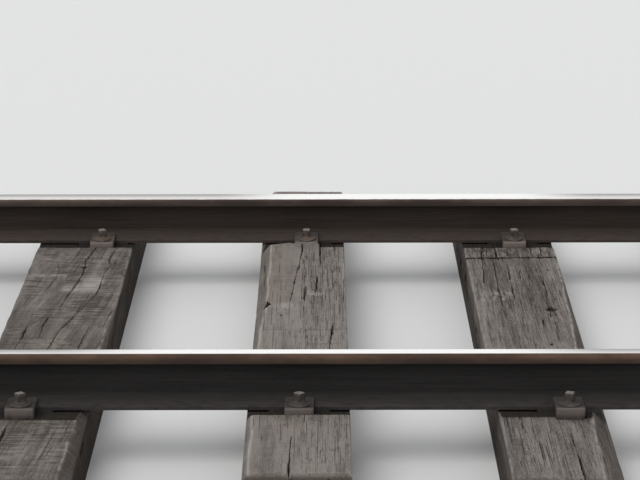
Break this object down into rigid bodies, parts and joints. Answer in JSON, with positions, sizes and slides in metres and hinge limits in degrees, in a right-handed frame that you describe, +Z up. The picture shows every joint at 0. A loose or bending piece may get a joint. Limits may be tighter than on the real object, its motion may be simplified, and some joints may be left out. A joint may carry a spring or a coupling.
{
  "type": "railway track panel",
  "caption": "Length of standard gauge railway track: flat-bottom rails clipped and screwed to weathered timber sleepers",
  "frame": {"origin": "middle of the panel, on the level underside of the sleepers", "axes": "+X along the rails, +Y across the track towards the left rail, +Z up"},
  "size_m": [3.78, 2.516, 0.2754],
  "materials": {
    "rail_steel": "rusted, with a polished running surface",
    "sleeper_wood": "weathered grey-brown, checked",
    "seat_pad": "dull black",
    "clip_steel": "rusted",
    "screw_steel": "rusted, worn bright on the heads"
  },
  "bodies": {
    "root": {"left_rail": "rail_steel", "right_rail": "rail_steel", "sleeper_1": "sleeper_wood", "sleeper_2": "sleeper_wood", "sleeper_3": "sleeper_wood", "sleeper_4": "sleeper_wood", "sleeper_5": "sleeper_wood", "sleeper_6": "sleeper_wood", "left_pad_1": "seat_pad", "left_clips_1": "clip_steel", "left_screws_1": "screw_steel", "right_pad_1": "seat_pad", "right_clips_1": "clip_steel", "right_screws_1": "screw_steel", "left_pad_2": "seat_pad", "left_clips_2": "clip_steel", "left_screws_2": "screw_steel", "right_pad_2": "seat_pad", "right_clips_2": "clip_steel", "right_screws_2": "screw_steel", "left_pad_3": "seat_pad", "left_clips_3": "clip_steel", "left_screws_3": "screw_steel", "right_pad_3": "seat_pad", "right_clips_3": "clip_steel", "right_screws_3": "screw_steel", "left_pad_4": "seat_pad", "left_clips_4": "clip_steel", "left_screws_4": "screw_steel", "right_pad_4": "seat_pad", "right_clips_4": "clip_steel", "right_screws_4": "screw_steel", "left_pad_5": "seat_pad", "left_clips_5": "clip_steel", "left_screws_5": "screw_steel", "right_pad_5": "seat_pad", "right_clips_5": "clip_steel", "right_screws_5": "screw_steel", "left_pad_6": "seat_pad", "left_clips_6": "clip_steel", "left_screws_6": "screw_steel", "right_pad_6": "seat_pad", "right_clips_6": "clip_steel", "right_screws_6": "screw_steel"}
  },
  "joints": []
}
